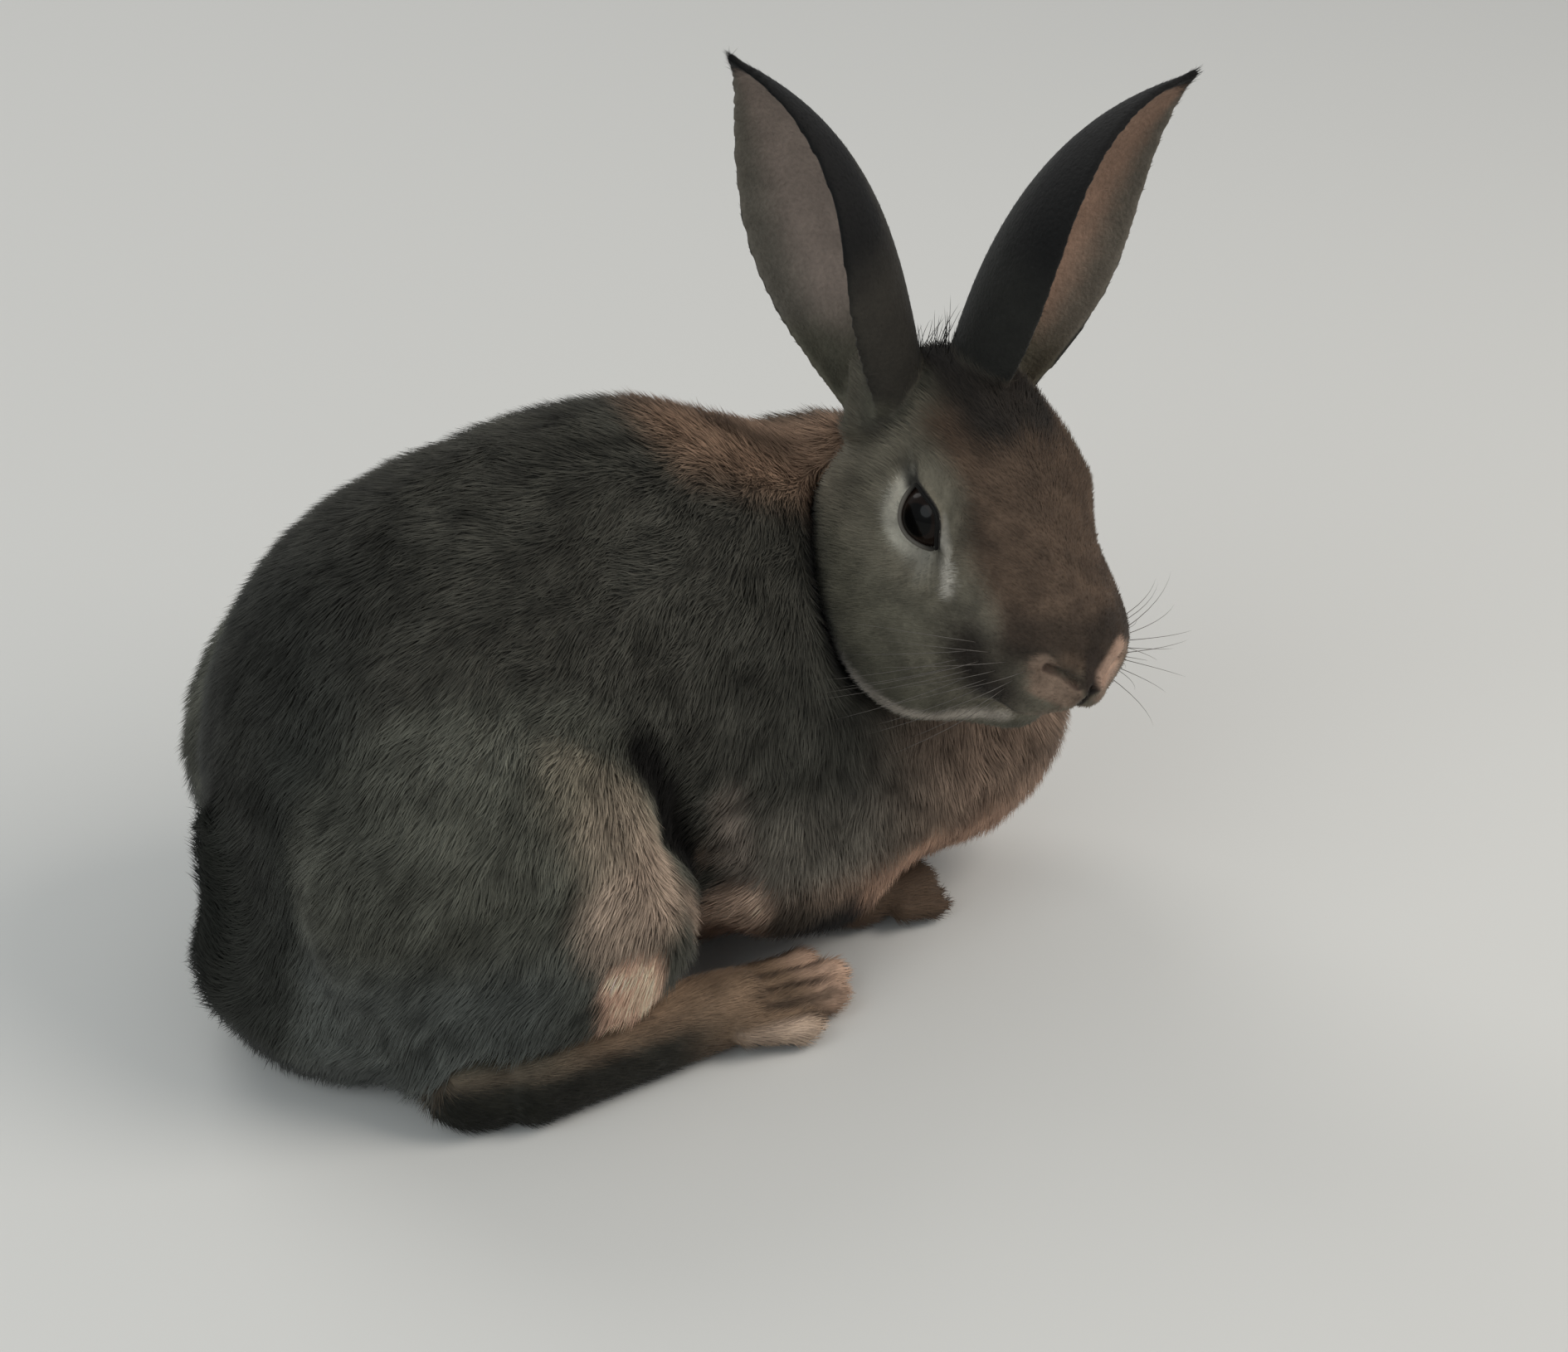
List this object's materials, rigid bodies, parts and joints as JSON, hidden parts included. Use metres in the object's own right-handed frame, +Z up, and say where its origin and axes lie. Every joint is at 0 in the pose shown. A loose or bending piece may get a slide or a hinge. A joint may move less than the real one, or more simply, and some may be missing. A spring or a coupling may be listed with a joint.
{
  "type": "rabbit",
  "caption": "Domestic rabbit with a short dense agouti coat, crouched on the floor with its head turned over its right shoulder and its ears raised.",
  "frame": {"origin": "on the floor, under the middle of the animal's bounding box", "axes": "+X runs forward along the body from rump to breast, +Y points to the animal's left, +Z points up"},
  "size_m": [0.2652, 0.178, 0.2485],
  "materials": {
    "coat": "short dense agouti fur, matt with a faint sheen",
    "ear_coat": "very short fur, thinner and paler inside the ear",
    "foot_coat": "short flat tan fur",
    "nose_skin": "moist, finely furred skin",
    "eye": "wet, glossy, dark brown",
    "claw": "horn, semi-gloss"
  },
  "bodies": {
    "root": {"eye_right": "eye", "eye_left": "eye", "nose": "nose_skin", "head": "coat", "ear_right": "ear_coat", "ear_left": "ear_coat", "hind_foot_right": "foot_coat", "hind_foot_left": "foot_coat", "fore_foot_right": "foot_coat", "fore_foot_left": "foot_coat", "haunch_right": "coat", "haunch_left": "coat", "fore_leg_right": "coat", "fore_leg_left": "coat", "tail": "coat", "neck": "coat", "trunk": "coat"}
  },
  "joints": []
}
